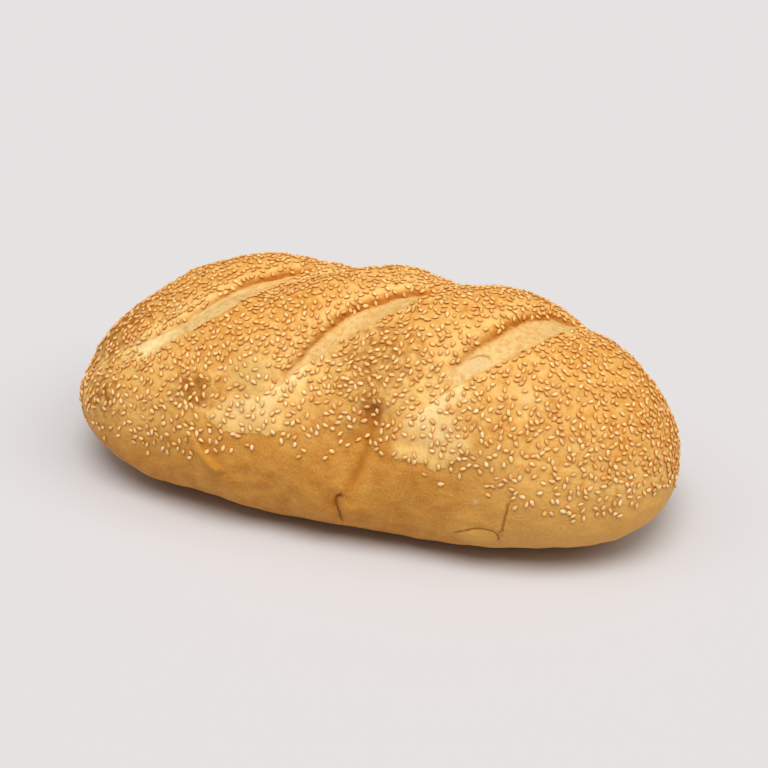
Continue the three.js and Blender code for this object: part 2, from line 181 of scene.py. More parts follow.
# Oval places in girth coordinates: the middle and the half-sizes, and a height or a strength.
PATCH_EDGE = (0.3, 1.4)
FLAKE = (68.3, -118.2, 10.5, 5.4)  # a flake that stands off the side
FLAKE_RISE = 0.7
CHALK = (68.8, -96.8, 2.4, 2.0)  # a small pale mark on the side
BUBBLE = (57.5, -34, 6.5, 6)  # a greyer bubble in the floor of a cut
BARE = [  # fewer seeds
    (84, -42, 7, 5, 0.95), (31.5, -23.8, 4, 4, 0.8), (-46, -62, 11, 9, 0.4), (-44, -86, 14, 5, 0.2),
    (53, -16, 10, 9, 0.5), (14.6, -69, 4, 6, 0.6), (-90, -40, 16, 5, 0.3), (-102, -88, 34, 15, 0.45),
]
# Paler patches: partly paler crust, partly painted light on slopes that face the light.
PALE_AND_LIT_PATCHES = [
    (84, -42, 9, 7, 0.3), (31.5, -23.8, 6, 5, 0.2), (-44, -76, 16, 9, 0.75), (46, -70, 16, 13, 0.7),
    (-109, -50, 13, 9, 0.68), (-100, -38, 10, 8, 0.4), (-92, -20, 14, 12, 0.3),
]
# Hollows painted duller and greyer: partly unbrowned crust, partly painted shade.
DULL_AND_SHADED_HOLLOWS = [(-47, -59, 12, 10, 0.75), (66, -76, 9, 5, 0.6), (-20, -72, 8, 8, 0.2)]
# Painted shade: slopes that face away from the light, hollows and the left end, painted darker.
SHADED_PATCHES = [
    (-74, -70, 14, 10, 0.6), (14.7, -67.5, 4.2, 5.5, 1.0), (12.5, -72, 12, 11, 0.4),
    (0, -79, 17, 9, 0.4), (-62, -92, 12, 6, 0.3), (-2, -112, 6, 8, 0.35), (-138, -20, 26, 60, 0.5),
    (-126, -86, 16, 18, 0.4), (12, -42, 22, 20, 0.42),
]

# ---- Seeds, in millimetres ----

# The line that the seeds end at, as girth coordinates of the front. The back has the same line.
SEED_LIMIT = [
    (-150, -120), (-130, -117), (-96, -111), (-84, -108), (-58, -101), (-49, -95), (-39, -92),
    (-16, -94), (2, -90), (15, -86), (31, -86), (44, -89), (60, -91), (70, -93), (84, -97),
    (98, -99), (106, -104), (120, -111), (132, -112), (143, -104), (150, -94),
]
LIMIT_FADE = (-9, 2)  # how far under the limit the seeds thin out to none
LOW_BAND = (-34, -8)  # the same for the band above it, where the seeds lie further apart
LOW_SHARE = 0.36
FRONT_BAND = (38, 60)  # girth from the ridge, at the front, where the seeds get a little rarer
FRONT_SHARE = 0.72
END_BAND = (-105, -135)  # along x, at the left end
END_SHARE = 0.7
BARE_FLOOR = (-0.6, -0.1, 0.25)  # inside a lip, inside an edge and how open: past these no seed lies
SEED_LOWEST = 12.0  # no seed lies lower over the ground

SEED_COUNT = 3450
SEED_GAP = 2.4
SEED_DRAWS = 60000
SEED_RANDOM = 77
SEED_SIZE = (3.2, 1.98, 1.45)
SEED_SIZE_SPREAD = (0.07, 0.08, 0.1)  # as shares of the size
SEED_SIDES = 8
SEED_RINGS = 6
SEED_ROUNDNESS = 0.85
SEED_TAPER = 0.42
SEED_TAPER_SPAN = (-0.2, 1.0)
SEED_DROOP = 0.12  # how far a seed's ends curve down, in half-heights
SEED_LIFT = 0.62  # how high a seed's middle lies over the crust, in half-heights
SEED_SINK = 0.1
SEED_TILT = 0.16
SEED_RIM = (0.5, -0.1)  # the heights that a seed gets darker between, in half-heights, partly toasting at its base and partly painted shade on its underside
PALENESS_BAND = (-75, 0)  # how far under the limit the seeds turn from toasted to pale
PALENESS_SPREAD = 0.42
PALENESS_STEPS = (0.35, 1.05)
SEED_KINDS = ("seeds_toasted", "seeds_golden", "seeds_pale")

# ---- The mesh and the marks on it ----

BLOCK_SEGMENTS = (240, 100, 72)
BLOCK_ASPECT = (1.9, 1.0, 0.85)
BLOCK_SHEAR = 0.35  # slants the mesh on the crown, so that it runs along the cuts
SIDE_TINT = (-34, 3)  # how far under the seeds' limit the crust takes on the bare side's colour
SIDE_EDGE = (-7, 3)
SIDE_WAVES = (2.5, 26.0, 31)  # height, wavelength and random seed of the edge's waves
CROWN_BAND = (-95, -20)  # minus the girth from the ridge, between the side and the toasted crown


def smoothstep(low, high, value):
    share = np.clip((value - low) / (high - low), 0.0, 1.0)
    return share * share * (3.0 - 2.0 * share)


def stretch(share, start, end):
    """1 along a stretch of a line, fading in over its start and out over its end."""
    return smoothstep(*start, share) * (1 - smoothstep(*end, share))


def bell(offset, width):
    """1 at the middle, falling off to both sides."""
    return np.exp(-((offset / width) ** 2))


def blend(first, second, share):
    return first + (second - first) * share


def unit(vectors):
    return vectors / np.linalg.norm(vectors, axis=1)[:, None]


def waves(points, wavelength, seed):
    """Smooth uneven values about -1 to 1: a sum of plane waves with drawn directions and phases."""
    draw = np.random.default_rng(seed)
    total = np.zeros(len(points))
    for _ in range(WAVE_COUNT):
        direction = draw.normal(size=3)
        direction *= 2 * math.pi / (wavelength * draw.uniform(*WAVE_SPREAD)) / np.linalg.norm(direction)
        total += np.sin(points @ direction + draw.uniform(0, 2 * math.pi))
    return total / math.sqrt(WAVE_COUNT)


def block(segments):
    """A block's surface points, on a grid from -1 to 1, and its quads, which face out."""
    quads = []
    for axis in range(3):
        a, b = (axis + 1) % 3, (axis + 2) % 3
        i, j = np.meshgrid(np.arange(segments[a]), np.arange(segments[b]), indexing="ij")
        for side, steps in ((0, [(0, 0), (0, 1), (1, 1), (1, 0)]), (1, [(0, 0), (1, 0), (1, 1), (0, 1)])):
            corners = np.zeros(i.shape + (4, 3), int)
            for corner, (di, dj) in enumerate(steps):
                corners[..., corner, a] = i + di
                corners[..., corner, b] = j + dj
                corners[..., corner, axis] = side * segments[axis]
            quads.append(corners.reshape(-1, 4, 3))
    corners = np.concatenate(quads).reshape(-1, 3)
    places, index = np.unique(corners, axis=0, return_inverse=True)
    return 2.0 * places / np.array(segments) - 1.0, index.reshape(-1, 4)


def form_points(directions):
    """The smooth form's points in unit directions from the waist's centre."""
    ux, uy, uz = directions.T
    right = 0.5 + 0.5 * np.clip(2 * ux, -1, 1)
    back = 0.5 + 0.5 * np.clip(2 * uy, -1, 1)
    front = blend(CORNER_EXPONENTS["front_left"], CORNER_EXPONENTS["front_right"], right)
    rear = blend(CORNER_EXPONENTS["back_left"], CORNER_EXPONENTS["back_right"], right)
    corner = blend(front, rear, back)
    section = np.where(uz > 0, CROWN_EXPONENT, BELLY_EXPONENT)
    outline = (np.abs(ux) ** corner + np.abs(uy) ** corner) ** (section / corner)
    reach = (outline + np.abs(uz) ** section) ** (-1 / section)
    x, y, z = (directions * reach[:, None]).T
    half_width = np.where(uy > 0, BACK_HALF_WIDTH, FRONT_HALF_WIDTH) * (1 + WIDTH_TAPER * x)
    half_height = np.where(uz > 0, CROWN_HEIGHT * (1 + HEIGHT_TAPER * x), BELLY_DEPTH)
    return np.stack([HALF_LENGTH * x, half_width * y, half_height * z], 1)


# ---- Lines and places on the crust ----
# An offset is the distance from a line. It is positive to the right of a line that runs to the front,
# and above one that runs to the right.

def beside(line, x, w):
    """The share of a line from back to front, and the offset from it."""
    (x0, w0), (x1, w1) = line["back"], line["front"]
    length = math.hypot(x1 - x0, w1 - w0)
    dx, dw = (x1 - x0) / length, (w1 - w0) / length
    share = ((x - x0) * dx + (w - w0) * dw) / length
    return share, (w - w0) * dx - (x - x0) * dw


def beside_path(path, x, w):
    """The same for a path of several points. The share runs evenly from point to point."""
    nearest = np.full(len(x), np.inf)
    share, offset = np.zeros((2, len(x)))
    spans = len(path) - 1
    for span in range(spans):
        (x0, w0), (x1, w1) = path[span], path[span + 1]
        length = math.hypot(x1 - x0, w1 - w0)
        dx, dw = (x1 - x0) / length, (w1 - w0) / length
        along = ((x - x0) * dx + (w - w0) * dw) / length
        inner = np.clip(along, 0, 1)
        apart = np.hypot(x - x0 - inner * dx * length, w - w0 - inner * dw * length)
        closer = apart < nearest
        nearest = np.where(closer, apart, nearest)
        side = np.sign((w - w0) * dx - (x - x0) * dw)
        offset = np.where(closer, apart * side, offset)
        first = 0.0 if span else -PATH_OVERRUN
        last = 1.0 if span < spans - 1 else PATH_OVERRUN
        share = np.where(closer, (span + np.clip(along, first, last)) / spans, share)
    return share, offset


def along_values(share, values):
    """Values at even steps along a line, with their corners rounded."""
    even = np.linspace(0, 1, len(values))
    return sum(np.interp(share + shift, even, values) for shift in SMOOTHING) / len(SMOOTHING)


def nearest_line(paths, reach, x, w):
    """The offset from the nearest of several paths, and how strongly that one shows."""
    nearest, shown = np.full(len(x), FAR_AWAY), np.zeros(len(x))
    for path, strength in paths:
        share, offset = beside_path(path, x, w)
        near = 1 - smoothstep(REACH_FADE * reach, reach, np.abs(offset))
        closer = np.abs(offset) < np.abs(nearest)
        nearest = np.where(closer, offset, nearest)
        shown = np.where(closer, strength * stretch(share, PATH_START, PATH_END) * near, shown)
    return nearest, shown


def patch(spot, x, w):
    """1 in the middle of an oval place and 0 outside it."""
    cx, cw, rx, rw = spot[:4]
    return 1 - smoothstep(*PATCH_EDGE, np.hypot((x - cx) / rx, (w - cw) / rw))


def patches(spots, x, w):
    return np.clip(sum(spot[4] * patch(spot, x, w) for spot in spots), 0, 1)


def under_limit(x, w):
    """How far under the seeds' lower limit a place lies. It is negative above the limit."""
    limit_x, limit_w = zip(*SEED_LIMIT)
    return np.abs(w) + np.interp(x, limit_x, limit_w)


# ---- The shapes on the crust ----

def valley_dent(line, x, w):
    """How far a valley sinks, and the share of its full depth."""
    share, offset = beside(line, x, w)
    ease = blend(1.0, line["front_share"], smoothstep(*VALLEY_EASE, share))
    full = stretch(share, VALLEY_START, VALLEY_END) * bell(offset, line["width"])
    return line["depth"] * ease * full, full


def broad_rise(formed, x, w):
    """The rise of valleys, humps, lumps and dimples, and how far down in a valley each point is."""
    dents = [valley_dent(line, x, w) for line in VALLEYS]
    rise = -sum(dent for dent, full in dents)
    for cx, cw, radius, height in HUMPS:
        rise = rise + height * np.exp(-((x - cx) ** 2 + (w - cw) ** 2) / radius ** 2)
    away = 1 - smoothstep(*LUMP_END, np.abs(x))
    for height, along_x, along_w, phase in LUMPS:
        rise = rise + away * height * np.sin(2 * math.pi * (x / along_x + w / along_w + phase))
    for height, wavelength, seed in DIMPLES:
        rise = rise + height * waves(formed, wavelength, seed)
    return rise, sum(full for dent, full in dents)


def cut(slash, x, w, sways):
    """A cut's rise, the distances inside its lip and its right edge, and how open and browned it is."""
    share, offset = beside(slash, x, w)
    left = along_values(share, slash["left"]) + sways[0]
    right = along_values(share, slash["right"]) + sways[1]
    inside, short = offset - left, right - offset
    opened = (smoothstep(*SLASH_WIDTHS, right - left) * smoothstep(*SLASH_START, share)
              * (1 - smoothstep(*slash["end"], share))
              * smoothstep(*SLASH_LEFT_REACH, inside) * smoothstep(*SLASH_RIGHT_REACH, short))
    curl = np.clip(inside / BROW_WIDTH + 1, 0, 1)
    wall = (1 - np.sqrt(1 - curl ** 2)) * smoothstep(*RIGHT_WALL, short)
    floor = 1 - FLOOR_RISE * smoothstep(0, 1, inside / np.maximum(right - left, 1.0))
    ear_height, ear_away, ear_width = EAR
    rim_height, rim_away, rim_width = RIM
    ridges = ear_height * bell(inside + ear_away, ear_width) + rim_height * bell(short + rim_away, rim_width)
    brow = opened * along_values(share, slash["brow"])
    depth = slash["step"] * blend(BROWLESS_DEPTH, 1.0, brow)
    return opened * (ridges - depth * wall * floor), inside, short, opened, brow


def add_cuts(rise, formed, x, w):
    """The rise with the cuts added, and the rest of what cut() gives, of the nearest cut."""
    lip, edge = np.full((2, len(x)), FAR_OUTSIDE)
    opened, brow = np.zeros((2, len(x)))
    sways = [sum(height * waves(formed, wavelength, seed + turn)
                 for turn, (height, wavelength) in enumerate(SWAY)) for seed in SWAY_SEEDS]
    for slash in SLASHES:
        cut_rise, inside, short, cut_open, cut_brow = cut(slash, x, w, sways)
        rise = rise + cut_rise
        nearer = np.minimum(inside, short) > np.minimum(lip, edge)
        lip, edge = np.where(nearer, inside, lip), np.where(nearer, short, edge)
        opened, brow = np.where(nearer, cut_open, opened), np.where(nearer, cut_brow, brow)
    return rise, lip, edge, opened, brow


def fissure(line, x, w):
    """A fissure's rise, and how dark its crease is painted, as shade."""
    share, offset = beside_path(line["path"], x, w)
    depth = along_values(share, line["depths"])
    width = along_values(share, line["widths"])
    sharp = np.exp(-np.abs(offset / width) ** FISSURE_EXPONENT)
    groove = stretch(share, FISSURE_START, FISSURE_END) * sharp
    hollow_depth, hollow_width = line["hollow"]
    hollow = stretch(share, HOLLOW_START, HOLLOW_END) * bell(offset, hollow_width)
    return -depth * groove - hollow_depth * hollow, groove * smoothstep(*CREASE_DEPTHS, depth)


def fold(x, w):
    """The fold's rise, and how much its ridge and its groove show."""
    share, offset = beside_path(FOLD, x, w)
    line = stretch(share, FOLD_START, FOLD_END)
    ridge_height, ridge_away, ridge_width = FOLD_RIDGE
    groove_depth, groove_away, groove_width = FOLD_GROOVE
    swell = blend(FOLD_UPPER_SHARE, 1.0, smoothstep(*FOLD_SWELL, share))
    ridge = bell(offset - ridge_away, ridge_width) * swell
    groove = bell(offset - groove_away, groove_width)
    return line * (ridge_height * ridge - groove_depth * groove), line * ridge, line * groove


def marked_step(kind, paths, x, w):
    """The rise of steps along paths, the offset from the nearest path and how strongly it shows."""
    offset, shown = nearest_line([(path, 1.0) for path in paths], FADES_REACHED * kind["fade"], x, w)
    fading = np.exp(-np.maximum(offset, 0) / kind["fade"])
    return kind["step"] * shown * smoothstep(*kind["edge"], offset) * fading, offset, shown


def raised(formed, x, rise):
    """The crust's points: the form moved out by the rise, bent, and set on its flat underside."""
    spine = np.stack([np.clip(x, -SPINE_HALF_LENGTH, SPINE_HALF_LENGTH), 0 * x, 0 * x], 1)
    points = formed + unit(formed - spine) * rise[:, None]
    points[:, 0] += PLAN_SHIFT[0]
    points[:, 1] += PLAN_SHIFT[1] + BEND * ((x / HALF_LENGTH) ** 2 - BEND_BALANCE)
    points[:, 2] += WAIST_HEIGHT
    z = points[:, 2]
    rounded = np.where(z < -FLOOR_SOFTNESS, 0.0, (z + FLOOR_SOFTNESS) ** 2 / (4 * FLOOR_SOFTNESS))
    points[:, 2] = np.where(z > FLOOR_SOFTNESS, z, rounded)
    return points


def crust_shape():
    """The crust's points and quads, and the named numbers on each point that mark it."""
    grid, quads = block(BLOCK_SEGMENTS)
    grid[:, 0] += BLOCK_SHEAR * grid[:, 1] * (1 - grid[:, 0] ** 2)
    formed = form_points(unit(np.tan(grid * math.pi / 4) * BLOCK_ASPECT))
    x = formed[:, 0]
    w = GIRTH_RADIUS * np.arctan2(formed[:, 1], formed[:, 2])
    rise, valley = broad_rise(formed, x, w)
    rise, lip, edge, opened, brow = add_cuts(rise, formed, x, w)
    fissures = [fissure(line, x, w) for line in FISSURES]
    fold_rise, ridge, groove = fold(x, w)
    flap_rise, tear, torn = marked_step(FLAP, FLAPS, x, w)
    ledge_rise, ledge, ledged = marked_step(LEDGE, LEDGES, x, w)
    crack, cracked = nearest_line(CRACKS, CRACK_REACH, x, w)
    flake = patch(FLAKE, x, w)
    rise = rise + sum(made[0] for made in fissures) + fold_rise + FLAKE_RISE * flake + flap_rise + ledge_rise
    below = under_limit(x, w)
    height, wavelength, seed = SIDE_WAVES
    side_edge = smoothstep(*SIDE_EDGE, below + height * waves(formed, wavelength, seed))
    marks = dict(
        lip=lip, edge=edge, opened=opened, brow=brow, valley=valley, ridge=ridge, groove=groove,
        crease=sum(made[1] for made in fissures), tear=tear, torn=torn, ledge=ledge, ledged=ledged,
        crack=crack, cracked=cracked, flake=flake, chalk=patch(CHALK, x, w), bubble=patch(BUBBLE, x, w),
        pale=patches(PALE_AND_LIT_PATCHES, x, w), dull_and_shaded=patches(DULL_AND_SHADED_HOLLOWS, x, w), painted_shade=patches(SHADED_PATCHES, x, w),
        side=blend(smoothstep(*SIDE_TINT, below), 1.0, side_edge),
        crown=smoothstep(*CROWN_BAND, -np.abs(w)) * (1 - np.clip(valley, 0, 1)))
    places = dict(x=x, w=w, bare=patches(BARE, x, w), lip=lip, edge=edge, opened=opened)
    return raised(formed, x, rise), quads, marks, places


def add_mesh(name, points, faces):
    """A smooth-shaded object from millimetre points and equal-sided faces."""
    mesh = bpy.data.meshes.new(name)
    sides = faces.shape[1]
    mesh.vertices.add(len(points))
    mesh.vertices.foreach_set("co", (points * MM).astype(np.float32).ravel())
    mesh.loops.add(faces.size)
    mesh.loops.foreach_set("vertex_index", faces.astype(np.int32).ravel())
    mesh.polygons.add(len(faces))
    mesh.polygons.foreach_set("loop_start", np.arange(0, faces.size, sides, dtype=np.int32))
    mesh.update(calc_edges=True)
    mesh.shade_smooth()
    piece = bpy.data.objects.new(name, mesh)
    bpy.context.scene.collection.objects.link(piece)
    return piece


def set_values(piece, name, values):
    """A named number on each vertex, for the material."""
    attribute = piece.data.attributes.new(name, "FLOAT", "POINT")
    attribute.data.foreach_set("value", np.asarray(values, np.float32))


crust, quads, marks, seed_places = crust_shape()
loaf = add_mesh("crust", crust, quads)
for name, values in marks.items():
    set_values(loaf, name, values)


# ---- The seeds' pieces ----

def seed_density(x, w, bare, lip, edge, opened):
    """How likely a seed is at a place, from 0 to 1."""
    below = under_limit(x, w)
    low = blend(LOW_SHARE, 1.0, 1 - smoothstep(*LOW_BAND, below))
    thin = low * blend(1.0, FRONT_SHARE, smoothstep(*FRONT_BAND, -w))
    end = blend(1.0, END_SHARE, smoothstep(*END_BAND, x))
    least_lip, least_edge, least_opened = BARE_FLOOR
    floor = (lip > least_lip) & (edge > least_edge) & (opened > least_opened)
    return np.where(floor, 0.0, (1 - smoothstep(*LIMIT_FADE, below)) * thin * (1 - bare) * end)


def face_areas(points, faces):
    """Vectors along the faces' normals, of twice their areas."""
    first, second, third, fourth = (points[faces[:, corner]] for corner in range(4))
    return np.cross(third - first, fourth - second)


def vertex_normals(points, faces):
    areas = face_areas(points, faces)
    normals = np.zeros_like(points)
    for corner in range(4):
        np.add.at(normals, faces[:, corner], areas)
    return normals / np.maximum(np.linalg.norm(normals, axis=1), 1e-9)[:, None]


def spaced(points):
    """The indices of the first points that keep the seeds' gap from each other."""
    kept, cells = [], {}
    around = [(di, dj, dk) for di in (-1, 0, 1) for dj in (-1, 0, 1) for dk in (-1, 0, 1)]
    for index, point in enumerate(points):
        i, j, k = (point // SEED_GAP).astype(int)
        near = [other for di, dj, dk in around for other in cells.get((i + di, j + dj, k + dk), ())]
        if all(np.sum((points[other] - point) ** 2) > SEED_GAP ** 2 for other in near):
            cells.setdefault((i, j, k), []).append(index)
            kept.append(index)
        if len(kept) == SEED_COUNT:
            break
    return np.array(kept)


def scatter(draw):
    """The seeds' places on the crust, the ways up there, and how far under the limit they lie."""
    middles = {name: values[quads].mean(1) for name, values in seed_places.items()}
    weight = np.linalg.norm(face_areas(crust, quads), axis=1) * seed_density(**middles)
    weight[crust[:, 2][quads].mean(1) < SEED_LOWEST] = 0
    chosen = quads[draw.choice(len(quads), SEED_DRAWS, p=weight / weight.sum())]
    u, v = draw.random((2, SEED_DRAWS, 1))

    def across(values):
        return (values[chosen[:, 0]] * (1 - u) * (1 - v) + values[chosen[:, 1]] * u * (1 - v)
                + values[chosen[:, 2]] * u * v + values[chosen[:, 3]] * (1 - u) * v)

    points = across(crust)
    kept = spaced(points)
    ups = across(vertex_normals(crust, quads))
    below = across(under_limit(seed_places["x"], seed_places["w"])[:, None])[:, 0]
    return points[kept], unit(ups[kept]), below[kept]


def seed_shape():
    """One seed of unit half-sizes with its tip at +x: points, triangles and each point's share of x."""
    points = [(-1.0, 0.0, 0.0)]
    for ring in range(1, SEED_RINGS + 1):
        angle = math.pi * ring / (SEED_RINGS + 1)
        x = -math.cos(angle)
        radius = math.sin(angle) ** SEED_ROUNDNESS * (1 - SEED_TAPER * smoothstep(*SEED_TAPER_SPAN, x))
        for step in range(SEED_SIDES):
            turn = 2 * math.pi * step / SEED_SIDES
            points.append((x, radius * math.cos(turn), radius * math.sin(turn)))
    points.append((1.0, 0.0, 0.0))
    last = len(points) - 1
    faces = []
    for step in range(SEED_SIDES):
        after = (step + 1) % SEED_SIDES
        faces.append((0, 1 + after, 1 + step))
        faces.append((last, last - SEED_SIDES + step, last - SEED_SIDES + after))
        for ring in range(SEED_RINGS - 1):
            here, there = 1 + ring * SEED_SIDES, 1 + (ring + 1) * SEED_SIDES
            faces.append((here + step, here + after, there + after))
            faces.append((here + step, there + after, there + step))
    points = np.array(points)
    return points, np.array(faces), (points[:, 0] + 1) / 2


def joined_seeds(name, places, ups, draw):
    """One piece of seeds that lie on the crust, each turned, tilted and sized by the draw."""
    shape, faces, share = seed_shape()
    count = len(places)
    up = unit(ups + SEED_TILT * draw.normal(size=(count, 3)) * draw.random((count, 1)))
    forward = unit(np.cross(up, draw.normal(size=(count, 3))))
    axes = (forward, np.cross(up, forward), up)
    sizes = np.array(SEED_SIZE) / 2 * draw.normal(1.0, SEED_SIZE_SPREAD, (count, 3))
    bent = shape - np.array([0, 0, SEED_DROOP]) * shape[:, :1] ** 2
    points = sum(bent[None, :, [axis]] * sizes[:, None, [axis]] * along[:, None]
                 for axis, along in enumerate(axes))
    lift = sizes[:, 2:3] * SEED_LIFT - SEED_SINK
    points += (places + ups * lift)[:, None]
    indices = (faces[None] + len(shape) * np.arange(count)[:, None, None]).reshape(-1, 3)
    piece = add_mesh(name, points.reshape(-1, 3), indices)
    set_values(piece, "tip", np.tile(share, count))
    # darker towards the underside, for toasting and painted shade
    set_values(piece, "rim", np.tile(smoothstep(*SEED_RIM, shape[:, 2]), count))
    set_values(piece, "tone", np.repeat(draw.random(count), len(shape)))
    return piece


draw = np.random.default_rng(SEED_RANDOM)
places, ups, below = scatter(draw)
paleness = smoothstep(*PALENESS_BAND, below) + draw.normal(0, PALENESS_SPREAD, len(below))
kinds = np.digitize(paleness, PALENESS_STEPS)
seed_pieces = [joined_seeds(name, places[kinds == kind], ups[kinds == kind], draw)
               for kind, name in enumerate(SEED_KINDS)]


# ---- Materials ----

def linear(red, green, blue):
    """A screen colour, in steps of 0 to 255, as the linear values that a socket holds."""
    steps = [value / 255 for value in (red, green, blue)]
    return tuple(s / 12.92 if s < 0.04045 else ((s + 0.055) / 1.055) ** 2.4 for s in steps) + (1.0,)


class Graph:
    """A material's nodes, with short calls to add them."""

    def __init__(self, name):
        self.material = bpy.data.materials.new(name)
        self.material.use_nodes = True
        self.nodes = self.material.node_tree.nodes
        self.shader = self.nodes["Principled BSDF"]
        self.object = self.nodes.new("ShaderNodeTexCoord").outputs["Object"]

    def link(self, source, socket):
        if isinstance(source, (int, float, tuple)):
            socket.default_value = source
        else:
            self.material.node_tree.links.new(source, socket)

    def value(self, name):
        """A named number of the vertices."""
        node = self.nodes.new("ShaderNodeAttribute")
        node.attribute_name = name
        return node.outputs["Fac"]

    def math(self, operation, first, second=0.0, third=0.0):
        node = self.nodes.new("ShaderNodeMath")
        node.operation = operation
        for socket, source in zip(node.inputs, (first, second, third)):
            self.link(source, socket)
        return node.outputs[0]

    def times(self, first, second):
        return self.math("MULTIPLY", first, second)

    def about_zero(self, noise, amount):
        """A noise of 0 to 1 as values about 0, up to half the amount to each side."""
        return self.times(self.math("SUBTRACT", noise, 0.5), amount)

    def uneven(self, value, noise, amount):
        return self.math("ADD", value, self.about_zero(noise, amount))

    def step(self, value, low, high, top=1.0, bottom=0.0):
        """A smooth step from bottom at low to top at high."""
        node = self.nodes.new("ShaderNodeMapRange")
        node.interpolation_type = "SMOOTHSTEP"
        for name, source in (("Value", value), ("From Min", low), ("From Max", high),
                             ("To Min", bottom), ("To Max", top)):
            self.link(source, node.inputs[name])
        return node.outputs["Result"]

    def mix(self, share, first, second):
        """A colour that goes from first to second with the share."""
        node = self.nodes.new("ShaderNodeMix")
        node.data_type = "RGBA"
        for socket, source in ((0, share), (6, first), (7, second)):
            self.link(source, node.inputs[socket])
        return node.outputs[2]

    def noise(self, size, detail=2.0, roughness=0.5):
        """Noise of features about size millimetres across."""
        node = self.nodes.new("ShaderNodeTexNoise")
        self.link(self.object, node.inputs["Vector"])
        node.inputs["Scale"].default_value = 1 / (size * MM)
        node.inputs["Detail"].default_value = detail
        node.inputs["Roughness"].default_value = roughness
        return node.outputs["Fac"]

    def cells(self, size):
        """Distance to the nearest of scattered points about size millimetres apart."""
        node = self.nodes.new("ShaderNodeTexVoronoi")
        self.link(self.object, node.inputs["Vector"])
        node.inputs["Scale"].default_value = 1 / (size * MM)
        return node.outputs["Distance"]

    def occlusion(self, reach, samples):
        """1 where nothing stands within reach millimetres, and less the more is near."""
        node = self.nodes.new("ShaderNodeAmbientOcclusion")
        node.samples = samples
        node.inputs["Distance"].default_value = reach * MM
        return node.outputs["AO"]

    def bump(self, height, depth, normal=None):
        """Relief of depth millimetres for heights of 0 to 1."""
        node = self.nodes.new("ShaderNodeBump")
        node.inputs["Distance"].default_value = depth * MM
        self.link(height, node.inputs["Height"])
        if normal:
            self.link(normal, node.inputs["Normal"])
        return node.outputs["Normal"]


GOLD = linear(234, 184, 102)
TOAST = linear(212, 146, 57)
MOTTLE = linear(196, 114, 24)
PALE = linear(248, 208, 128)
CREAM = linear(252, 228, 164)
DULL_SHADE = linear(212, 174, 102)
SIDE = linear(214, 150, 58)
SIDE_DARK = linear(196, 126, 38)
SIDE_PALE_AND_LIT = linear(230, 176, 90)
OCCLUSION_SHADE = linear(190, 102, 12)
FOLD_ORANGE = linear(216, 150, 48)
FLOOR_CREAM = linear(232, 200, 138)
FLOOR_YELLOW = linear(216, 162, 84)
FLOOR_SPECK = linear(184, 118, 38)
BROW_SHADE_AND_TOAST = linear(204, 128, 24)
LIP_SHADOW_AND_TOAST = linear(166, 90, 0)
CREASE_SHADE = linear(136, 70, 8)
CREASE_SOFT_SHADE = linear(182, 112, 30)
SHADE_BROWN = linear(136, 74, 8)
CRACK_BROWN = linear(150, 84, 20)
CHALKY = linear(214, 190, 158)
BUBBLE_GREY = linear(224, 194, 140)
FLECK = linear(236, 200, 150)

# Noises in the crust: the size of their features in millimetres, their detail and their roughness.
BROAD_NOISE = (38, 2)
MIDDLE_NOISE = (9, 3)
MOTTLE_NOISE = (4.2, 4, 0.6)
FINE_NOISE = (1.6, 4, 0.6)
GRAIN_NOISE = (0.7, 2)
LEDGE_NOISE = (3.0, 3)
TEAR_NOISE = (3.2, 3)
CRACK_NOISE = (1.8, 3)
CRUMB_NOISE = (3.4, 5, 0.6)
CRUMB_GRAIN = (1.0, 3)
PORE_SIZE = 1.7
FLECK_SIZE = 3.4

# How far noises move the lines between colours, in millimetres.
LIP_FRAY = 0.5
EDGE_FRAY = 1.2
LEDGE_FRAY = 2.4
TEAR_JAGS = 3.2
TEAR_FRAY = 1.4
CRACK_FRAY = 1.1

# Offsets that colours fade between, in millimetres.
LEDGE_BAND = (1.0, 9.0)
FLAP_BAND = (3.0, 13.0)
BROW_BAND = (-4.5, -0.6)
CRACK_LINE = (0.75, 0.3)

RAGGEDNESS = 1.3  # how much the mottle frays the edge of a patch, as a share of its strength
LIT_SIDE_SPAN = (30 * MM, 110 * MM)  # along x, where the bare side is painted lighter towards the right end, as painted light
OCCLUSION_SHADE_REACH = 1.6  # how far from a seed or a wall the crust is painted darker as shade, in millimetres
OCCLUSION_SHADE_SAMPLES = 3
CRUST_SPECULAR = 0.18
CRUST_GLOW = 0.1  # the share of the light that goes into the crust, and how deep it goes
CRUST_GLOW_RADIUS = (1.0, 0.5, 0.25)
CRUST_GLOW_DEPTH = 2 * MM
MOTTLE_RELIEF = 0.7  # depths in millimetres
FINE_RELIEF = 0.3
CRACK_RELIEF = -0.35
GRAIN_RELIEF = 0.12
SEED_NOISE = (0.6, 2)
SEED_STAIN = 2.0  # how broad the stains are that change the colour along the seeds, in millimetres
SEED_RELIEF = 0.05
SEED_ROUGHNESS = 0.45
SEED_SPECULAR = 0.3


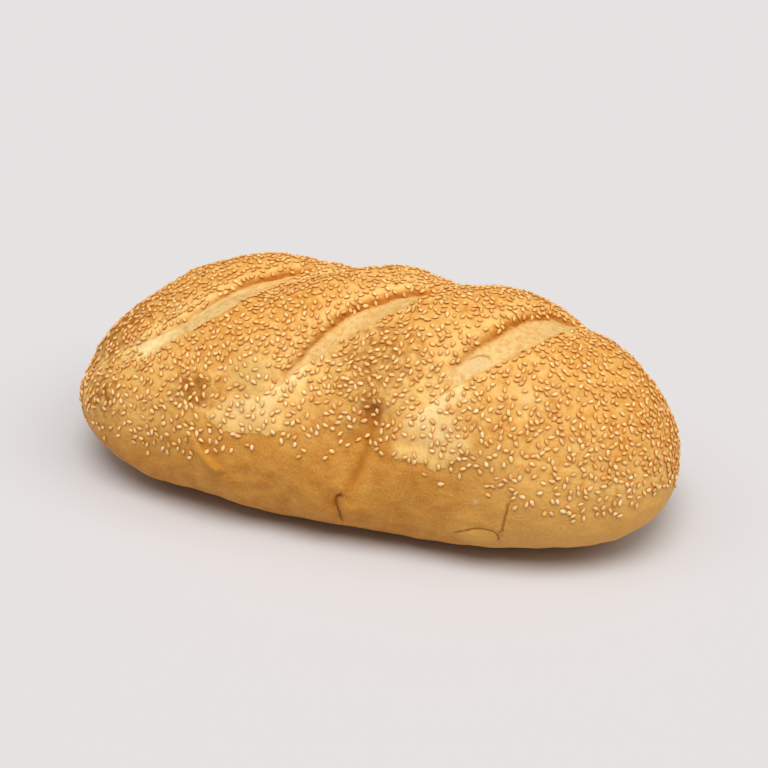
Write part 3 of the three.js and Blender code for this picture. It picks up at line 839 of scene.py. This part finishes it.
class CrustGraph(Graph):
    """The crust's material. Its layers of colour are laid one over the other."""

    def __init__(self):
        super().__init__("crust")
        self.broad = self.noise(*BROAD_NOISE)
        self.middle = self.noise(*MIDDLE_NOISE)
        self.mottle = self.noise(*MOTTLE_NOISE)
        self.fine = self.noise(*FINE_NOISE)
        self.grain = self.noise(*GRAIN_NOISE)
        crack = self.math("ABSOLUTE", self.uneven(self.value("crack"), self.noise(*CRACK_NOISE), CRACK_FRAY))
        self.thin = self.times(self.step(crack, *CRACK_LINE), self.value("cracked"))
        # the brow's mask: where it is browned and painted in shade
        self.browned_and_shaded = self.times(self.value("brow"), self.step(self.cut_edge(), 0.0, 2.0))

    def cut_lip(self):
        """The distance inside a cut's lip, a little uneven."""
        return self.uneven(self.value("lip"), self.fine, LIP_FRAY)

    def cut_edge(self):
        return self.uneven(self.value("edge"), self.fine, EDGE_FRAY)

    def patchy(self, name):
        """How strongly the patches of a name show, with ragged edges."""
        strength = self.value(name)
        fray = self.times(self.about_zero(self.mottle, RAGGEDNESS), self.step(strength, 0.0, 0.2))
        return self.step(self.math("ADD", strength, fray), 0.0, 1.0)

    def seeded(self):
        """The seeded crust, toasted on top and paler along the valleys."""
        toasted = self.math("MULTIPLY_ADD", self.value("crown"), 0.55,
                            self.times(self.step(self.broad, 0.35, 0.7), 0.45))
        colour = self.mix(self.times(toasted, self.step(self.middle, 0.2, 0.7, 1.0, 0.6)), GOLD, TOAST)
        sunk = self.step(self.value("valley"), 0.35, 1.0)
        colour = self.mix(self.times(sunk, self.step(self.broad, 0.3, 0.7, 0.75, 0.35)), colour, PALE)
        colour = self.mix(self.step(self.mottle, 0.5, 0.68, 0.55), colour, MOTTLE)
        return self.mix(self.step(self.mottle, 0.5, 0.34, 0.4), colour, PALE)

    def patched(self, colour):
        """The pale patches, partly paler crust and partly painted light, the dull hollows, partly unbrowned
        and partly painted shade, the painted shade of the dark patches, and the crust along the ledges,
        painted paler, partly torn crust and partly painted light.
        """
        # the pale patches: partly paler crust, partly painted light
        colour = self.mix(self.patchy("pale"), colour, CREAM)
        # the dull hollows: partly unbrowned crust, partly painted shade
        colour = self.mix(self.patchy("dull_and_shaded"), colour, DULL_SHADE)
        # along a ledge the crust is painted paler: partly torn crust, partly painted light on its lit edge
        ledge = self.uneven(self.value("ledge"), self.noise(*LEDGE_NOISE), LEDGE_FRAY)
        band = self.times(self.step(ledge, -0.5, 0.5), self.step(ledge, *LEDGE_BAND, 0.0, 1.0))
        lit = self.times(self.times(band, self.value("ledged")), self.step(self.mottle, 0.35, 0.6, 0.9, 0.5))
        colour = self.mix(lit, colour, CREAM)
        # painted shade on the dark patches
        return self.mix(self.patchy("painted_shade"), colour, SHADE_BROWN)

    def bare_side(self, colour):
        side = self.mix(self.step(self.middle, 0.3, 0.75), SIDE, SIDE_DARK)
        along = self.nodes.new("ShaderNodeSeparateXYZ")
        self.link(self.object, along.inputs[0])
        # painted light: the bare side lighter towards the right end
        side = self.mix(self.step(along.outputs["X"], *LIT_SIDE_SPAN, 0.7), side, SIDE_PALE_AND_LIT)
        side = self.mix(self.step(self.grain, 0.5, 0.75, 0.45), side, SIDE_DARK)
        side = self.mix(self.step(self.grain, 0.5, 0.25, 0.35), side, FLECK)
        # the flake painted lighter: partly paler crust, partly painted light on its raised face
        side = self.mix(self.times(self.value("flake"), 0.6), side, SIDE_PALE_AND_LIT)
        return self.mix(self.value("side"), colour, side)

    def torn(self, colour):
        """The flaps' paler crust above a tear, and the thin shadow under it."""
        jags = self.uneven(self.about_zero(self.noise(*TEAR_NOISE), TEAR_JAGS), self.fine, TEAR_FRAY)
        tear = self.math("ADD", self.value("tear"), jags)
        above = self.times(self.step(tear, -0.25, 0.25), self.step(self.value("tear"), *FLAP_BAND, 0.0, 1.0))
        above = self.times(above, self.value("torn"))
        colour = self.mix(self.times(above, self.step(self.mottle, 0.35, 0.6, 0.75, 0.4)), colour, PALE)
        under = self.times(self.step(tear, -1.1, -0.1), self.step(tear, 0.25, -0.1))
        under = self.times(under, self.value("torn"))
        return self.mix(self.times(under, self.step(self.fine, 0.35, 0.65, 0.45, 0.0)), colour, SHADE_BROWN)

    def folded(self, colour):
        ridge = self.times(self.value("ridge"), self.step(self.fine, 0.3, 0.7, 0.75, 0.5))
        colour = self.mix(ridge, colour, FOLD_ORANGE)
        # painted shade in the fold's groove
        return self.mix(self.times(self.value("groove"), 0.5), colour, SIDE_DARK)

    def cut_floor(self):
        """The open crumb of a cut, with its pores, its bubble and yellower borders, the floor along the lip
        and under a strong brow painted yellower as shade.
        """
        lip, edge = self.cut_lip(), self.cut_edge()
        floor = self.mix(self.step(self.noise(*CRUMB_NOISE), 0.3, 0.6), FLOOR_YELLOW, FLOOR_CREAM)
        floor = self.mix(self.value("bubble"), floor, BUBBLE_GREY)
        floor = self.mix(self.step(self.cells(PORE_SIZE), 0.24, 0.12, 0.55), floor, FLOOR_SPECK)
        floor = self.mix(self.step(self.noise(*CRUMB_GRAIN), 0.56, 0.7, 0.5), floor, FLOOR_YELLOW)
        # painted shade under the brow: the floor is yellower along the lip and where the brow is strong
        near_lip = self.times(self.step(lip, 3.0, 0.4, 0.7), self.step(self.browned_and_shaded, 0.0, 0.6, 1.0, 0.3))
        floor = self.mix(near_lip, floor, FLOOR_YELLOW)
        floor = self.mix(self.step(edge, 1.8, 0.2, 0.5), floor, FLOOR_YELLOW)
        floor = self.mix(self.times(self.value("brow"), 0.25), floor, FLOOR_YELLOW)
        # the pale patches, partly painted light, reach into the cuts as well
        return self.mix(self.patchy("pale"), floor, CREAM)

    def opened(self, colour):
        """The cuts: the brow, partly browned and partly painted shade, the floor, and the dark line along
        the lip, partly a browned edge and partly a painted shadow.
        """
        lip, edge = self.cut_lip(), self.cut_edge()
        # the brow that curls down into the cut: partly browning, partly painted shade
        brow = self.times(self.browned_and_shaded, self.step(lip, *BROW_BAND, 0.85))
        colour = self.mix(brow, colour, BROW_SHADE_AND_TOAST)
        inside = self.times(self.step(lip, -0.3, 0.4), self.step(edge, -0.2, 0.5))
        inside = self.times(inside, self.step(self.value("opened"), 0.12, 0.4))
        colour = self.mix(inside, colour, self.cut_floor())
        # the dark line under the lip: partly a browned edge, partly painted shadow
        line = self.times(self.step(lip, -2.2, -0.3), self.step(lip, 0.2, 1.0, 0.0, 1.0))
        line = self.times(self.times(line, self.browned_and_shaded), self.step(self.mottle, 0.3, 0.6, 1.0, 0.5))
        return self.mix(self.times(line, 0.95), colour, LIP_SHADOW_AND_TOAST)

    def cracked(self, colour):
        """The fissures' creases, painted in shade, the thin cracks, and the small marks on the bare side."""
        # painted shade in the creases, darker the deeper they are
        colour = self.mix(self.step(self.value("crease"), 0.02, 0.5, 0.75), colour, CREASE_SOFT_SHADE)
        colour = self.mix(self.step(self.value("crease"), 0.5, 1.0, 0.85), colour, CREASE_SHADE)
        line = self.times(self.thin, self.step(self.grain, 0.2, 0.5, 0.85, 0.6))
        colour = self.mix(line, colour, CRACK_BROWN)
        flecks = self.times(self.step(self.cells(FLECK_SIZE), 0.1, 0.05), self.step(self.middle, 0.42, 0.6))
        colour = self.mix(self.times(flecks, self.times(self.value("side"), 0.7)), colour, FLECK)
        chalk = self.step(self.uneven(self.value("chalk"), self.mottle, RAGGEDNESS), 0.4, 0.8)
        return self.mix(self.times(chalk, 0.6), colour, CHALKY)

    def relief(self):
        normal = self.bump(self.mottle, MOTTLE_RELIEF)
        normal = self.bump(self.fine, FINE_RELIEF, normal)
        normal = self.bump(self.thin, CRACK_RELIEF, normal)
        return self.bump(self.grain, GRAIN_RELIEF, normal)


def crust_material():
    g = CrustGraph()
    colour = g.torn(g.bare_side(g.patched(g.seeded())))
    colour = g.cracked(g.opened(g.folded(colour)))
    # painted shade: the crust turns a darker orange where seeds and relief stand close around it
    colour = g.mix(g.step(g.occlusion(OCCLUSION_SHADE_REACH, OCCLUSION_SHADE_SAMPLES), 0.9, 0.45, 0.8), colour, OCCLUSION_SHADE)
    g.link(colour, g.shader.inputs["Base Color"])
    g.link(g.step(g.middle, 0.2, 0.8, 0.66, 0.5), g.shader.inputs["Roughness"])
    g.shader.inputs["Specular IOR Level"].default_value = CRUST_SPECULAR
    g.shader.inputs["Subsurface Weight"].default_value = CRUST_GLOW
    g.shader.inputs["Subsurface Radius"].default_value = CRUST_GLOW_RADIUS
    g.shader.inputs["Subsurface Scale"].default_value = CRUST_GLOW_DEPTH
    g.link(g.relief(), g.shader.inputs["Normal"])
    return g.material


def seed_material(name, body, tip, toast_and_shade):
    """A seed's colour: more orange towards its tip, darker towards its rim, which is partly toasting at its
    base and partly painted shade on its underside, and a tone of its own.
    """
    g = Graph(name)
    colour = g.mix(g.step(g.value("tip"), 0.45, 1.0, 0.7, 0.0), body, tip)
    tone = g.math("MULTIPLY_ADD", g.value("tone"), 0.6, g.times(g.noise(SEED_STAIN), 0.3))
    colour = g.mix(g.times(tone, 0.6), colour, toast_and_shade)
    # darker towards the underside: partly toasting at the base, partly painted shade
    colour = g.mix(g.times(g.value("rim"), 0.9), colour, toast_and_shade)
    g.link(colour, g.shader.inputs["Base Color"])
    g.shader.inputs["Roughness"].default_value = SEED_ROUGHNESS
    g.shader.inputs["Specular IOR Level"].default_value = SEED_SPECULAR
    g.link(g.bump(g.noise(*SEED_NOISE), SEED_RELIEF), g.shader.inputs["Normal"])
    return g.material


loaf.data.materials.append(crust_material())
SEED_COLOURS = [  # body, tip, and the darker colour for toasting and painted shade, of each kind
    (linear(250, 204, 120), linear(232, 160, 68), linear(184, 98, 12)),
    (linear(254, 222, 150), linear(244, 188, 98), linear(194, 112, 22)),
    (linear(252, 228, 174), linear(244, 200, 120), linear(198, 122, 36)),
]
for piece, colours in zip(seed_pieces, SEED_COLOURS):
    piece.data.materials.append(seed_material(piece.name, *colours))
    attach(piece, "root")
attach(loaf, "root")
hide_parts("loaf")

# ---- Floor and light ----

GROUND_HALF = 4.0  # metres
GROUND_COLOUR = linear(205, 203, 204)
GROUND_ROUGHNESS = 0.9
GROUND_SPECULAR = 0.1
WORLD_COLOUR = (1.0, 0.99, 0.98, 1.0)
WORLD_STRENGTH = 0.21
DAYLIGHT = (1.0, 0.995, 0.985)
# Where each light comes from, with azimuth 0 for the front and 90 for the right, its strength, and how
# wide it is in the sky. The angles are in degrees.
SUNS = [
    ("key", 18, 72, 2.3, 36), ("right", 90, 50, 0.85, 40), ("left", 300, 60, 0.5, 40),
    ("back", 180, 60, 0.12, 40),
]


def direction(azimuth, elevation):
    """The way to something that stands at an azimuth and an elevation in degrees."""
    az, el = math.radians(azimuth), math.radians(elevation)
    return Vector((math.sin(az) * math.cos(el), -math.cos(az) * math.cos(el), math.sin(el)))


ground_mesh = bpy.data.meshes.new("floor")
ground_mesh.from_pydata([(-GROUND_HALF, -GROUND_HALF, 0), (GROUND_HALF, -GROUND_HALF, 0),
                         (GROUND_HALF, GROUND_HALF, 0), (-GROUND_HALF, GROUND_HALF, 0)], [], [(0, 1, 2, 3)])
floor = bpy.data.objects.new("floor", ground_mesh)
bpy.context.scene.collection.objects.link(floor)
paint = Graph("floor")
paint.shader.inputs["Base Color"].default_value = GROUND_COLOUR
paint.shader.inputs["Roughness"].default_value = GROUND_ROUGHNESS
paint.shader.inputs["Specular IOR Level"].default_value = GROUND_SPECULAR
ground_mesh.materials.append(paint.material)

world = bpy.data.worlds.new("studio")
world.use_nodes = True
world.node_tree.nodes["Background"].inputs["Color"].default_value = WORLD_COLOUR
world.node_tree.nodes["Background"].inputs["Strength"].default_value = WORLD_STRENGTH
bpy.context.scene.world = world
for name, azimuth, elevation, strength, spread in SUNS:
    light = bpy.data.lights.new(name, "SUN")
    light.energy = strength
    light.angle = math.radians(spread)
    light.color = DAYLIGHT
    lamp = bpy.data.objects.new(name, light)
    lamp.rotation_euler = direction(azimuth, elevation).to_track_quat("Z", "Y").to_euler()
    bpy.context.scene.collection.objects.link(lamp)

# ---- Camera ----

CAMERA_AZIMUTH = 18.76  # degrees
CAMERA_ELEVATION = 33.67
CAMERA_DISTANCE = 1062.7  # millimetres
CAMERA_TARGET = (1.68, 52.2)  # to the right of the form's middle, and up, in millimetres
FOCAL_PIXELS = 2171.5
PICTURE_PIXELS = 768
SENSOR = 36.0
CLIP_END = 20.0  # metres

back = direction(CAMERA_AZIMUTH, CAMERA_ELEVATION)
turn = math.radians(CAMERA_AZIMUTH)
right = Vector((math.cos(turn), math.sin(turn), 0))
up = back.cross(right)
target = right * CAMERA_TARGET[0] + Vector((PLAN_SHIFT[0], PLAN_SHIFT[1], CAMERA_TARGET[1]))
lens = bpy.data.cameras.new("camera")
lens.sensor_width = SENSOR
lens.lens = FOCAL_PIXELS * SENSOR / PICTURE_PIXELS
lens.clip_end = CLIP_END
camera = bpy.data.objects.new("camera", lens)
bpy.context.scene.collection.objects.link(camera)
facing = Matrix((right, up, back)).transposed().to_4x4()
camera.matrix_world = Matrix.Translation((target + back * CAMERA_DISTANCE) * MM) @ facing
bpy.context.scene.camera = camera
bpy.context.scene.view_settings.view_transform = "Standard"

bpy.context.view_layer.update()
